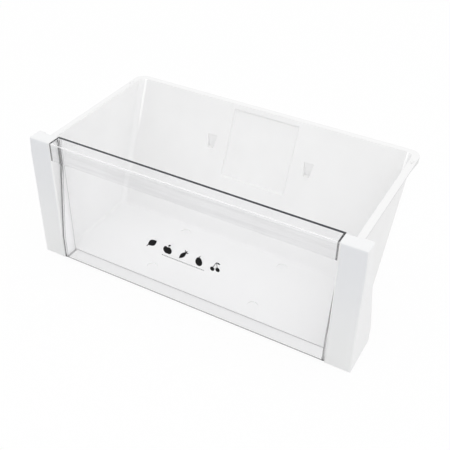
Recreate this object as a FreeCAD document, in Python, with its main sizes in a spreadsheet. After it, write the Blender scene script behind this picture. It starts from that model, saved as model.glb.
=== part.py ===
import FreeCAD, Part
import os
import Sketcher

# Refrigerator crisper drawer: an opal bin, a clear front panel and two end caps.
# Millimetres. X runs along the width, the front faces -Y, +Z is up, and the feet stand on Z = 0.

DIMENSIONS = (
    ("overall_width", 462.0, "across both end caps"),
    ("overall_depth", 232.0, "front face to the rim's rear edge"),
    ("overall_height", 187.0, "top of the panel and the caps"),
    ("front_depth", 20.4, "front face to the bin's front frame"),
    ("band_height", 26.0, "hanging lip of the panel and top band of the caps"),
    ("fit_clearance", 0.3, "gap between pieces that clip together"),
    ("bin_wall", 2.2, "wall and floor of the bin, measured level"),
    ("bin_inset", 24.0, "outer side of a cap to the inside of the bin at the rim"),
    ("bin_side_draft", 4.5, "how far each side of the bin leans in, from rim to floor"),
    ("bin_floor_depth", 127.6, "front frame to the foot of the back wall"),
    ("bin_corner_radius", 10.0, "upright rear corners, inside"),
    ("bin_floor_radius", 5.0, "floor edges, inside"),
    ("rim_drop", 6.0, "rim below the top of the panel and the caps"),
    ("rim_overhang", 7.0, "rim beyond the wall"),
    ("rim_thickness", 3.0, "rim flange"),
    ("rim_corner_radius", 16.0, "rear corners of the rim"),
    ("rim_edge_radius", 0.8, "rounding along the rim's outer edge"),
    ("nib_length", 8.0, "stop nib on the rim, along the depth"),
    ("nib_width", 2.4, "stop nib, across"),
    ("nib_height", 1.2, "stop nib above the rim"),
    ("nib_setback", 25.5, "rear edge of the rim to the stop nib"),
    ("stop_drop", 4.0, "rear stop below the rim"),
    ("stop_length", 40.0, "rear stop, along the depth"),
    ("stop_width", 2.4, "rear stop, across"),
    ("foot_height", 2.5, "feet below the floor"),
    ("foot_diameter", 20.0, "round feet"),
    ("foot_spacing", 156.0, "feet, across"),
    ("foot_front_setback", 42.0, "front face to the front feet"),
    ("foot_rear_inset", 18.0, "foot of the back wall to the rear feet"),
    ("dimple_diameter", 15.0, "hollow in the floor above a foot"),
    ("dimple_depth", 1.2, "hollow in the floor above a foot"),
    ("field_width", 100.0, "recessed field of the back wall"),
    ("field_drop", 6.0, "rim to the field's upper edge"),
    ("field_height", 91.0, "field, from its upper to its lower edge"),
    ("field_depth", 2.4, "field behind the wall"),
    ("field_draft", 40.0, "slope of the field's edges, degrees"),
    ("dent_spacing", 150.0, "shield-shaped dents, across"),
    ("dent_drop", 47.0, "rim to a dent's upper edge"),
    ("dent_height", 18.0, "dent, from its upper to its lower edge"),
    ("dent_top_width", 14.5, "dent's ground at its upper edge"),
    ("dent_foot_width", 7.5, "dent's ground at its lower edge"),
    ("dent_top_depth", 0.8, "dent behind the wall at its upper edge"),
    ("dent_foot_depth", 6.0, "dent behind the wall at its lower edge"),
    ("dent_draft", 8.0, "slope of the dent's edges, degrees"),
    ("panel_wall", 2.5, "clear panel"),
    ("panel_foot_gap", 1.0, "panel above the surface that the drawer stands on"),
    ("recess_depth", 14.5, "grip recess behind the lip's front"),
    ("shoulder_drop", 39.0, "top of the panel to where the leaning face becomes upright"),
    ("recess_foot", 38.0, "height where the leaning face meets the front"),
    ("panel_bend_radius", 14.0, "bends of the leaning face"),
    ("panel_foot_radius", 3.5, "front foot edge of the panel"),
    ("panel_edge_radius", 0.9, "lip and top edges of the panel"),
    ("ear_width", 6.0, "panel ears that the caps hold against the frame"),
    ("cap_width", 34.2, "front of an end cap"),
    ("cap_wall", 2.2, "end cap shell"),
    ("cap_top_depth", 19.5, "end cap at the top"),
    ("cap_foot_depth", 63.0, "end cap at the foot"),
    ("cap_foot_height", 25.0, "upright rear edge at the foot of a cap"),
    ("cap_taper", 1.5, "how far the cap's side leans in over the top band"),
    ("cap_edge_radius", 3.0, "outer edges of a cap"),
    ("wing_lip", 13.0, "bottom wall of the cap's wing"),
    ("rib_thickness", 1.8, "stiffening ribs inside a cap"),
    ("rib_lowest", 58.0, "height of the lowest rib"),
    ("rib_pitch", 40.0, "rib to rib"),
    ("hook_width", 14.0, "snap hooks of a cap, along the height"),
    ("hook_wall", 2.0, "arm of a snap hook"),
    ("hook_grip", 2.8, "barb of a snap hook behind the frame"),
    ("hook_ramp", 4.0, "lead-in slope of a barb"),
    ("hook_lowest", 30.0, "underside of the lower hook"),
    ("hook_pitch", 80.0, "hook to hook"),
)
RIB_COUNT = 3
HOOK_COUNT = 2
TOLERANCE = 0.01

# Places worked out from the driving sizes, as expressions.
FRONT = "(-sizes.overall_depth / 2)"
SEAM = f"({FRONT} + sizes.front_depth)"
REAR = "(sizes.overall_depth / 2)"
HALF_WIDTH = "(sizes.overall_width / 2)"
CAP_INNER = f"({HALF_WIDTH} - sizes.cap_width)"
PANEL_HALF = f"({CAP_INNER} - sizes.fit_clearance)"
MOUTH_HALF = f"({HALF_WIDTH} - sizes.bin_inset)"
FLOOR_HALF = f"({MOUTH_HALF} - sizes.bin_side_draft)"
FLOOR_TOP = "(sizes.foot_height + sizes.bin_wall)"
RIM_TOP = "(sizes.overall_height - sizes.rim_drop)"
RIM_FOOT = f"({RIM_TOP} - sizes.rim_thickness)"
RIM_MIDDLE = f"({RIM_TOP} - sizes.rim_thickness / 2)"
RIM_HALF = f"({MOUTH_HALF} + sizes.bin_wall + sizes.rim_overhang)"
BACK_MOUTH = f"({REAR} - sizes.rim_overhang - sizes.bin_wall)"
BACK_FLOOR = f"({SEAM} + sizes.bin_floor_depth)"
WALL_RISE = f"({RIM_TOP} - {FLOOR_TOP})"
SIDE_LEAN = f"(({MOUTH_HALF} - {FLOOR_HALF}) / {WALL_RISE})"
BACK_LEAN = f"(({BACK_MOUTH} - {BACK_FLOOR}) / {WALL_RISE})"
LIP_FOOT = "(sizes.overall_height - sizes.band_height)"
EAR_FRONT = f"({SEAM} - sizes.panel_wall)"
FRAME_FOOT = "(sizes.cap_wall + sizes.fit_clearance)"
FIELD_TOP = f"({RIM_TOP} - sizes.field_drop)"
DENT_TOP = f"({RIM_TOP} - sizes.dent_drop)"
DENT_LEAN = f"({BACK_LEAN} - (sizes.dent_foot_depth - sizes.dent_top_depth) / sizes.dent_height)"
RECESS = f"({FRONT} + sizes.recess_depth)"
RECESS_SHOULDER = "(sizes.overall_height - sizes.shoulder_drop)"

doc = FreeCAD.newDocument("crisper_drawer")
sizes = doc.addObject("Spreadsheet::Sheet", "sizes")
for row, (alias, size, meaning) in enumerate(DIMENSIONS, start=1):
    sizes.set(f"A{row}", meaning)
    sizes.set(f"B{row}", str(size))
    sizes.setAlias(f"B{row}", alias)
doc.recompute()


def value(expression):
    """Returns the number that an expression has now."""
    return float(sizes.evalExpression(expression))


def new_body(label):
    """Adds an empty body for one sub-part."""
    body = doc.addObject("PartDesign::Body", label)
    body.Label = label
    body.Placement = FreeCAD.Placement()
    return body


def new_sketch(body, name, role, offset="0", up="0", lean=None):
    """Adds a sketch on an origin plane, moved along its normal and upwards, and leant about its x axis."""
    sketch = body.newObject("Sketcher::SketchObject", name)
    plane = next(item for item in body.Origin.OriginFeatures if item.Role == role)
    sketch.AttachmentSupport = [(plane, "")]
    sketch.MapMode = "FlatFace"
    if lean:
        tilt = FreeCAD.Rotation(FreeCAD.Vector(-1, 0, 0), value(f"atan({lean})"))
        sketch.AttachmentOffset = FreeCAD.Placement(FreeCAD.Vector(), tilt)
        sketch.setExpression("AttachmentOffset.Rotation.Angle", f"atan({lean})")
    sketch.setExpression("AttachmentOffset.Base.y", up)
    sketch.setExpression("AttachmentOffset.Base.z", offset)
    return sketch


def bind(sketch, kind, *places, to):
    """Adds a dimension to a sketch and binds it to an expression."""
    index = sketch.addConstraint(Sketcher.Constraint(kind, *places, value(to)))
    sketch.setExpression(f"Constraints[{index}]", to)


def add_outline(sketch, corners):
    """Closes straight lines through the corners, which are pairs of expressions."""
    first = sketch.GeometryCount
    points = [FreeCAD.Vector(value(x), value(y), 0) for x, y in corners]
    count = len(points)
    for index, start in enumerate(points):
        sketch.addGeometry(Part.LineSegment(start, points[(index + 1) % count]), False)
    for index in range(count):
        following = first + (index + 1) % count
        sketch.addConstraint(Sketcher.Constraint("Coincident", first + index, 2, following, 1))
    for index, (x, y) in enumerate(corners):
        bind(sketch, "DistanceX", -1, 1, first + index, 1, to=x)
        bind(sketch, "DistanceY", -1, 1, first + index, 1, to=y)


def add_rectangle(sketch, left, right, low, high):
    """Adds a rectangle between four expressions."""
    add_outline(sketch, ((left, low), (right, low), (right, high), (left, high)))


def add_circle(sketch, x, y, diameter):
    """Adds a circle about a centre given by two expressions."""
    place = FreeCAD.Vector(value(x), value(y), 0)
    axis = FreeCAD.Vector(0, 0, 1)
    index = sketch.addGeometry(Part.Circle(place, axis, value(diameter) / 2), False)
    bind(sketch, "DistanceX", -1, 1, index, 3, to=x)
    bind(sketch, "DistanceY", -1, 1, index, 3, to=y)
    bind(sketch, "Diameter", index, to=diameter)


def extrude(body, kind, name, sketch, length, backwards=False, midplane=False, taper=None):
    """Adds a pad or a pocket of a sketch."""
    feature = body.newObject(f"PartDesign::{kind}", name)
    feature.Profile = sketch
    feature.setExpression("Length", length)
    feature.Reversed = backwards
    feature.Midplane = midplane
    if taper:
        feature.setExpression("TaperAngle", taper)
    doc.recompute()
    return feature


def same(first, second):
    """Tells whether two lengths agree."""
    return abs(first - second) < TOLERANCE


def runs_along_x(edge):
    """Tells whether an edge is straight and lies along the width."""
    box = edge.BoundBox
    return box.YLength < TOLERANCE and box.ZLength < TOLERANCE


def round_edges(body, name, wanted, radius):
    """Rounds the edges of the body's last feature that pass a test."""
    edges = body.Tip.Shape.Edges
    names = [f"Edge{index}" for index, edge in enumerate(edges, start=1) if wanted(edge)]
    base = body.Tip
    feature = body.newObject("PartDesign::Fillet", name)
    feature.Base = (base, names)
    feature.setExpression("Radius", radius)
    doc.recompute()
    return feature


def minus(expression):
    """Returns the expression with its sign changed."""
    return f"(-1 * {expression})"


def slope_length(height):
    """Returns the distance up the back wall, from its foot to a height."""
    return f"(({height} - {FLOOR_TOP}) * sqrt(1 + {BACK_LEAN} ^ 2))"


def half_at(height):
    """Returns half the bin's inside width at a height."""
    return f"({FLOOR_HALF} + {SIDE_LEAN} * ({height} - {FLOOR_TOP}))"


def back_at(height):
    """Returns how far back the inside of the back wall is at a height."""
    return f"({BACK_FLOOR} + {BACK_LEAN} * ({height} - {FLOOR_TOP}))"


def build_bin():
    """The opal bin: its outside, less the core that fills its inside."""
    outside = new_body("bin_outside")
    add_leaning_block(outside, "sizes.foot_height", RIM_TOP, SEAM, "sizes.bin_wall")
    add_rim(outside)
    add_front_frame(outside)
    add_back_wall_field(outside, "sizes.bin_wall")
    add_back_wall_dents(outside, "sizes.bin_wall")
    add_floor_discs(outside, "feet", "0", "(sizes.foot_height + sizes.bin_wall / 4)", "sizes.foot_diameter")
    add_stop_nibs(outside)
    add_rear_stops(outside)

    core = new_body("bin_core")
    core_top = f"({RIM_TOP} + sizes.rim_thickness)"
    add_leaning_block(core, FLOOR_TOP, core_top, f"({SEAM} + sizes.bin_wall)", "0")
    add_front_opening(core, core_top)
    add_back_wall_field(core, "0")
    add_back_wall_dents(core, "0")
    dimple_floor = f"({FLOOR_TOP} - sizes.dimple_depth)"
    dimple_rise = "(sizes.dimple_depth + sizes.bin_wall / 4)"
    add_floor_discs(core, "dimples", dimple_floor, dimple_rise, "sizes.dimple_diameter")

    shell = doc.addObject("Part::Cut", "bin")
    shell.Base = outside
    shell.Tool = core
    shell.Label = "bin"
    doc.recompute()
    return shell


def add_leaning_block(body, low, high, front, margin):
    """A block with leaning sides and a slanted back, the bin's inside grown by a margin."""
    low_half = f"({half_at(low)} + {margin})"
    high_half = f"({half_at(high)} + {margin})"
    low_back = f"({back_at(low)} + {margin})"
    high_back = f"({back_at(high)} + {margin})"
    face = new_sketch(body, "block_face", "XZ_Plane", minus(front))
    corners = ((minus(low_half), low), (low_half, low), (high_half, high), (minus(high_half), high))
    add_outline(face, corners)
    extrude(body, "Pad", "block", face, f"({high_back} - {front})", backwards=True)
    slant = new_sketch(body, "slant", "YZ_Plane")
    add_outline(slant, ((low_back, low), (high_back, low), (high_back, high)))
    extrude(body, "Pocket", "slanted_back", slant, f"(2 * {high_half})", midplane=True)

    def is_slanted_corner(edge):
        box = edge.BoundBox
        return same(box.ZLength, value(f"{high} - {low}")) and box.YLength > TOLERANCE

    def is_floor_edge(edge):
        box = edge.BoundBox
        level = box.ZLength < TOLERANCE and same(box.ZMin, value(low))
        return level and not same(box.YMax, value(front))

    round_edges(body, "upright_corners", is_slanted_corner, f"(sizes.bin_corner_radius + {margin})")
    round_edges(body, "floor_edges", is_floor_edge, f"(sizes.bin_floor_radius + {margin})")


def add_rim(body):
    """The flat rim round the mouth, with round rear corners and a soft outer edge."""
    rim = new_sketch(body, "rim_outline", "XY_Plane", RIM_FOOT)
    add_rectangle(rim, minus(RIM_HALF), RIM_HALF, SEAM, REAR)
    extrude(body, "Pad", "rim", rim, "sizes.rim_thickness")

    def is_corner(edge):
        box = edge.BoundBox
        upright = same(box.ZLength, value("sizes.rim_thickness")) and box.XLength < TOLERANCE
        return upright and same(box.YMin, value(REAR))

    def is_outer_edge(edge):
        box = edge.BoundBox
        level = box.ZLength < TOLERANCE and box.ZMin > value(RIM_FOOT) - TOLERANCE
        reach = max(box.XMax, -box.XMin)
        outside = same(reach, value(RIM_HALF)) or same(box.YMax, value(REAR))
        return level and outside and not same(box.YMax, value(SEAM))

    round_edges(body, "rim_corners", is_corner, "sizes.rim_corner_radius")
    round_edges(body, "rim_edge", is_outer_edge, "sizes.rim_edge_radius")


def add_front_frame(body):
    """The flat frame at the front, which the panel's ears and the caps' hooks hold on to."""
    frame = new_sketch(body, "frame_outline", "XZ_Plane", minus(SEAM))
    add_rectangle(frame, minus(RIM_HALF), RIM_HALF, FRAME_FOOT, RIM_TOP)
    extrude(body, "Pad", "front_frame", frame, "sizes.bin_wall", backwards=True)


def add_front_opening(body, top):
    """The opening in the front frame, which the clear panel closes."""
    opening = new_sketch(body, "opening_outline", "XZ_Plane", minus(SEAM))
    add_rectangle(opening, minus(CAP_INNER), CAP_INNER, FLOOR_TOP, top)
    extrude(body, "Pad", "front_opening", opening, "(2 * sizes.bin_wall)", backwards=True)


def back_wall_sketch(body, name):
    """Adds a sketch that lies on the inside of the back wall, with its origin at the wall's foot."""
    return new_sketch(body, name, "XZ_Plane", minus(BACK_FLOOR), FLOOR_TOP, BACK_LEAN)


def add_back_wall_field(body, margin):
    """A shallow field with sloping edges, pressed out of the back wall below the rim."""
    half = f"(sizes.field_width / 2 + {margin})"
    low = f"({slope_length(f'({FIELD_TOP} - sizes.field_height)')} - {margin})"
    high = f"({slope_length(FIELD_TOP)} + {margin})"
    outline = back_wall_sketch(body, "field_outline")
    add_rectangle(outline, minus(half), half, low, high)
    depth = f"(sizes.field_depth + {margin})"
    extrude(body, "Pad", "field", outline, depth, backwards=True, taper=minus("sizes.field_draft"))


def add_back_wall_dents(body, margin):
    """Two shield-shaped dents beside the field, which deepen downwards to a ledge."""
    slant = f"sqrt(1 + {DENT_LEAN} ^ 2)"
    ground = f"({back_at(DENT_TOP)} + sizes.dent_top_depth + {margin} * {slant})"
    top_half = f"(sizes.dent_top_width / 2 + {margin})"
    foot_half = f"(sizes.dent_foot_width / 2 + {margin})"
    low = f"(-1 * sizes.dent_height * {slant} - {margin})"
    outlines = new_sketch(body, "dent_outlines", "XZ_Plane", minus(ground), DENT_TOP, DENT_LEAN)
    for side in ("-1", "1"):
        centre = f"{side} * sizes.dent_spacing / 2"
        corners = (
            (f"({centre} - {foot_half})", low),
            (f"({centre} + {foot_half})", low),
            (f"({centre} + {top_half})", margin),
            (f"({centre} - {top_half})", margin),
        )
        add_outline(outlines, corners)
    rise = f"(1.2 * sizes.dent_foot_depth + {margin})"
    extrude(body, "Pad", "dents", outlines, rise, taper="sizes.dent_draft")


def add_floor_discs(body, name, low, rise, diameter):
    """Four discs in the places of the feet, from a height upwards."""
    circles = new_sketch(body, f"{name}_circles", "XY_Plane", low)
    places = (f"({FRONT} + sizes.foot_front_setback)", f"({BACK_FLOOR} - sizes.foot_rear_inset)")
    for side in ("-1", "1"):
        for place in places:
            add_circle(circles, f"({side} * sizes.foot_spacing / 2)", place, diameter)
    extrude(body, "Pad", name, circles, rise)


def add_stop_nibs(body):
    """A small stop nib on the rear end of each side rim."""
    nibs = new_sketch(body, "nib_outlines", "XY_Plane", RIM_MIDDLE)
    inner = f"(({MOUTH_HALF} + {RIM_HALF} - sizes.nib_width) / 2)"
    outer = f"({inner} + sizes.nib_width)"
    rear = f"({REAR} - sizes.nib_setback)"
    front = f"({rear} - sizes.nib_length)"
    add_rectangle(nibs, inner, outer, front, rear)
    add_rectangle(nibs, minus(outer), minus(inner), front, rear)
    extrude(body, "Pad", "stop_nibs", nibs, "(sizes.nib_height + sizes.rim_thickness / 2)")


def add_rear_stops(body):
    """A wedge below the rear end of each side rim, which meets the rail's stop on the way out."""
    foot = f"({RIM_FOOT} - sizes.stop_drop)"
    rear = f"({REAR} - sizes.rim_corner_radius)"
    front = f"({rear} - sizes.stop_length)"
    for name, side in (("left", "-1"), ("right", "1")):
        stop = new_sketch(body, f"{name}_stop_outline", "YZ_Plane", f"({side} * {RIM_HALF})")
        add_outline(stop, ((front, RIM_MIDDLE), (rear, foot), (rear, RIM_MIDDLE)))
        extrude(body, "Pad", f"{name}_stop", stop, "sizes.stop_width", backwards=side == "1")


def build_front_panel():
    """The clear front: one bent section across the width, closed at its ends, with ears for the caps."""
    body = new_body("front_panel")
    wall = "sizes.panel_wall"
    top = "sizes.overall_height"
    foot = "sizes.panel_foot_gap"
    lip_back = f"({FRONT} + {wall})"
    recess_back = f"({RECESS} + {wall})"
    under_top = f"({top} - {wall})"
    over_foot = f"({foot} + {wall})"

    section = new_sketch(body, "section", "YZ_Plane")
    corners = (
        (FRONT, top),
        (FRONT, LIP_FOOT),
        (lip_back, LIP_FOOT),
        (lip_back, under_top),
        (RECESS, under_top),
        (RECESS, RECESS_SHOULDER),
        (FRONT, "sizes.recess_foot"),
        (FRONT, foot),
        (SEAM, foot),
        (SEAM, over_foot),
        (lip_back, over_foot),
        (lip_back, "sizes.recess_foot"),
        (recess_back, RECESS_SHOULDER),
        (recess_back, under_top),
        (SEAM, under_top),
        (SEAM, top),
    )
    add_outline(section, corners)
    extrude(body, "Pad", "face_and_lip", section, f"(2 * {PANEL_HALF})", midplane=True)

    end_corners = (
        (FRONT, foot),
        (SEAM, foot),
        (SEAM, top),
        (RECESS, top),
        (RECESS, RECESS_SHOULDER),
        (FRONT, "sizes.recess_foot"),
    )
    for name, side in (("left", "-1"), ("right", "1")):
        end = new_sketch(body, f"{name}_end_outline", "YZ_Plane", f"({side} * {PANEL_HALF})")
        add_outline(end, end_corners)
        extrude(body, "Pad", f"{name}_end", end, wall, backwards=side == "1")

    round_edges(body, "lean_bends", is_lean_bend, "sizes.panel_bend_radius")
    round_edges(body, "foot_edge", is_panel_foot_edge, "sizes.panel_foot_radius")
    round_edges(body, "lip_edges", is_lip_edge, "sizes.panel_edge_radius")

    ears = new_sketch(body, "ear_outlines", "XZ_Plane", minus(SEAM))
    inner = f"({PANEL_HALF} - {wall} / 2)"
    outer = f"({PANEL_HALF} + sizes.ear_width)"
    add_rectangle(ears, inner, outer, FRAME_FOOT, RIM_TOP)
    add_rectangle(ears, minus(outer), minus(inner), FRAME_FOOT, RIM_TOP)
    extrude(body, "Pad", "ears", ears, wall)
    return body


def lies_at(edge, depth, height):
    """Tells whether an edge along the width lies at a depth and a height."""
    box = edge.BoundBox
    return runs_along_x(edge) and same(box.YMin, value(depth)) and same(box.ZMin, value(height))


def is_lean_bend(edge):
    """Tells whether an edge is a bend of the leaning face, in front or behind."""
    wall = "sizes.panel_wall"
    places = (
        (RECESS, RECESS_SHOULDER),
        (f"{RECESS} + {wall}", RECESS_SHOULDER),
        (FRONT, "sizes.recess_foot"),
        (f"{FRONT} + {wall}", "sizes.recess_foot"),
    )
    return any(lies_at(edge, depth, height) for depth, height in places)


def is_panel_foot_edge(edge):
    """Tells whether an edge is the front foot edge of the panel."""
    return lies_at(edge, FRONT, "sizes.panel_foot_gap")


def is_lip_edge(edge):
    """Tells whether an edge is one of the lip's or the top's long edges."""
    places = (
        (FRONT, "sizes.overall_height"),
        (FRONT, LIP_FOOT),
        (f"{FRONT} + sizes.panel_wall", LIP_FOOT),
        (SEAM, "sizes.overall_height"),
    )
    return any(lies_at(edge, depth, height) for depth, height in places)


def build_end_cap(label, side):
    """One end cap, on the side given by a sign: a shell open at the rear, with ribs and snap hooks."""
    body = new_body(label)
    backwards = side == "-1"
    top = "sizes.overall_height"
    wall = "sizes.cap_wall"

    box_rear = f"({EAR_FRONT} - sizes.fit_clearance)"
    box = new_sketch(body, "box_outline", "YZ_Plane", f"({side} * {CAP_INNER})")
    add_rectangle(box, FRONT, box_rear, "0", top)
    extrude(body, "Pad", "front_box", box, "sizes.cap_width", backwards=backwards)

    wing = new_sketch(body, "wing_outline", "YZ_Plane", f"({side} * ({HALF_WIDTH} - sizes.wing_lip))")
    wing_top = f"({FRONT} + sizes.cap_top_depth)"
    wing_foot = f"({FRONT} + sizes.cap_foot_depth)"
    wing_corners = (
        (FRONT, "0"),
        (wing_foot, "0"),
        (wing_foot, "sizes.cap_foot_height"),
        (wing_top, LIP_FOOT),
        (wing_top, top),
        (FRONT, top),
    )
    add_outline(wing, wing_corners)
    extrude(body, "Pad", "wing", wing, "sizes.wing_lip", backwards=backwards)

    taper = new_sketch(body, "taper_outline", "XZ_Plane", minus(FRONT))
    outer = f"({side} * {HALF_WIDTH})"
    leant_in = f"({side} * ({HALF_WIDTH} - sizes.cap_taper))"
    add_outline(taper, ((outer, LIP_FOOT), (outer, top), (leant_in, top)))
    extrude(body, "Pocket", "top_band_taper", taper, "sizes.cap_foot_depth")
    round_edges(body, "outer_edges", is_cap_outer_edge, "sizes.cap_edge_radius")

    beyond = f"({wing_foot} + {wall})"
    inside = f"(sizes.cap_width - 2 * {wall})"
    hollows = (
        ("body_hollow", wall, LIP_FOOT, inside),
        ("band_hollow", f"({LIP_FOOT} - {wall})", f"({top} - {wall})", f"({inside} - sizes.cap_taper)"),
    )
    for name, low, high, width in hollows:
        hollow = new_sketch(body, f"{name}_outline", "YZ_Plane", f"({side} * ({CAP_INNER} + {wall}))")
        add_rectangle(hollow, f"({FRONT} + {wall})", beyond, low, high)
        extrude(body, "Pocket", name, hollow, width, backwards=not backwards)

    for index in range(RIB_COUNT):
        add_cap_rib(body, side, index)
    for index in range(HOOK_COUNT):
        add_cap_hook(body, side, index)
    return body


def is_cap_outer_edge(edge):
    """Tells whether an edge is on the cap's front or along the top of its outer side."""
    box = edge.BoundBox
    level_front = same(box.YMin, value(FRONT)) and same(box.YMax, value(FRONT))
    high = same(box.ZMin, value("sizes.overall_height")) and same(box.ZMax, value("sizes.overall_height"))
    outer = max(box.XMax, -box.XMin) > value(f"{HALF_WIDTH} - sizes.wing_lip") + TOLERANCE
    straight_back = box.XLength < TOLERANCE and outer
    return level_front or (high and straight_back)


def add_cap_rib(body, side, index):
    """A level stiffening rib between the cap's front and side walls, which stops at the bin's frame."""
    height = f"(sizes.rib_lowest + {index} * sizes.rib_pitch)"
    rib = new_sketch(body, f"rib_outline_{index + 1}", "XY_Plane", height)
    inner = f"({PANEL_HALF} + sizes.ear_width + sizes.fit_clearance)"
    outer = f"({HALF_WIDTH} - sizes.cap_wall / 2)"
    front = f"({FRONT} + sizes.cap_wall / 2)"
    rear = f"({SEAM} - sizes.fit_clearance)"
    add_rectangle(rib, f"({side} * {inner})", f"({side} * {outer})", front, rear)
    extrude(body, "Pad", f"rib_{index + 1}", rib, "sizes.rib_thickness")


def add_cap_hook(body, side, index):
    """A snap hook that passes the frame's outer edge and grips behind it with a sloping barb."""
    height = f"(sizes.hook_lowest + {index} * sizes.hook_pitch)"
    hook = new_sketch(body, f"hook_outline_{index + 1}", "XY_Plane", height)
    arm_inner = f"({RIM_HALF} + sizes.fit_clearance)"
    arm_outer = f"({arm_inner} + sizes.hook_wall)"
    barb = f"({arm_inner} - sizes.hook_grip)"
    front = f"({FRONT} + sizes.cap_wall / 2)"
    grip = f"({SEAM} + sizes.bin_wall + sizes.fit_clearance)"
    tip = f"({grip} + sizes.hook_ramp)"
    corners = (
        (arm_outer, front),
        (arm_outer, tip),
        (arm_inner, tip),
        (barb, grip),
        (arm_inner, grip),
        (arm_inner, front),
    )
    add_outline(hook, [(f"({side} * {x})", y) for x, y in corners])
    extrude(body, "Pad", f"hook_{index + 1}", hook, "sizes.hook_width")


def check(document, parts):
    """Stops if an object failed or a sub-part isn't one valid solid."""
    for item in document.Objects:
        if "Invalid" in item.State or "Error" in item.State:
            raise RuntimeError(f"{item.Label} failed: {item.State}")
    for part in parts:
        shape = part.Shape
        if shape.isNull() or not shape.isValid() or len(shape.Solids) != 1:
            raise RuntimeError(f"{part.Label} isn't one valid solid")


parts = [
    build_bin(),
    build_front_panel(),
    build_end_cap("left_end_cap", "-1"),
    build_end_cap("right_end_cap", "1"),
]
doc.recompute()
check(doc, parts)
os.makedirs("parts", exist_ok=True)
for part in parts:
    part.Shape.exportStep(os.path.join("parts", f"{part.Label}.step"))
    print(part.Label, round(part.Shape.Volume / 1000, 1), "cm3", part.Shape.BoundBox)
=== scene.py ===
"""Looks of a refrigerator crisper drawer: an opal bin, a clear front and two white end caps."""

import logging
import math
from dataclasses import dataclass
from enum import Enum
from functools import partial, reduce
from typing import Callable, Sequence

import bmesh
import bpy
from mathutils import Matrix, Vector

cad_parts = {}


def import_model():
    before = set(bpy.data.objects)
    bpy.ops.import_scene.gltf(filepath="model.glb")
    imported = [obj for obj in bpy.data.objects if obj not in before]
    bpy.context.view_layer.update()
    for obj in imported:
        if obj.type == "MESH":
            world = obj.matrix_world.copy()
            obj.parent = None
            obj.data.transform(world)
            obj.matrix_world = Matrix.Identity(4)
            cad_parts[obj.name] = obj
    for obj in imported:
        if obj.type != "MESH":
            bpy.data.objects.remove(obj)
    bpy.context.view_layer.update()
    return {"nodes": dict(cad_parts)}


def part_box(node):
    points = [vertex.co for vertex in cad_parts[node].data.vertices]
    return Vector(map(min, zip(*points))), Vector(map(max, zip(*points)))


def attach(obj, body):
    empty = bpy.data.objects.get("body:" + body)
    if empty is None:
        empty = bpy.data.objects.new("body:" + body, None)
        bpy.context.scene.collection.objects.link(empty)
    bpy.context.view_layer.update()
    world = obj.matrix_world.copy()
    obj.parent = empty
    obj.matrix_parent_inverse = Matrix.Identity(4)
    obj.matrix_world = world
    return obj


LOG = logging.getLogger("crisper_drawer")
BODY = "root"
MM = 0.001
WHITE = (1.0, 1.0, 1.0, 1.0)

# Nearly all of a noise lies in this span.
NOISE_SPAN = (0.3, 0.7)

# Width over which a painted edge fades.
EDGE_SOFT = 0.4 * MM

# Rays that show the room and the floor as plain white.
SHOWING_RAYS = ("Camera", "Glossy", "Transmission")

Colour = tuple[float, float, float, float]
Place = tuple[float, float, float]
Point = tuple[float, float]
Span = tuple[float, float]
Socket = bpy.types.NodeSocket
Source = Socket | Sequence[float] | float
Axes = dict[str, Socket]

# A limit on a value, and the width over which the value passes it.
Edge = tuple[float, float]


@dataclass(frozen=True)
class Surface:
    """What a material can tell of a point on its piece.

    Attributes:
        tree: The material's tree.
        place: The point's place, as one vector.
        at: X, Y and Z of the place.
        faces: X, Y and Z of the way that the surface faces.
    """

    tree: "ShaderTree"
    place: Socket
    at: Axes
    faces: Axes

    def across(self) -> Socket:
        """Returns the point's distance from the middle of the drawer."""
        return self.tree.math("ABSOLUTE", self.at["X"])

    def outward(self) -> Socket:
        """Returns X times the X of the way it faces, below 0 where it faces the middle."""
        return self.tree.product(self.at["X"], self.faces["X"])


Shading = Callable[[Surface], Socket]


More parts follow.
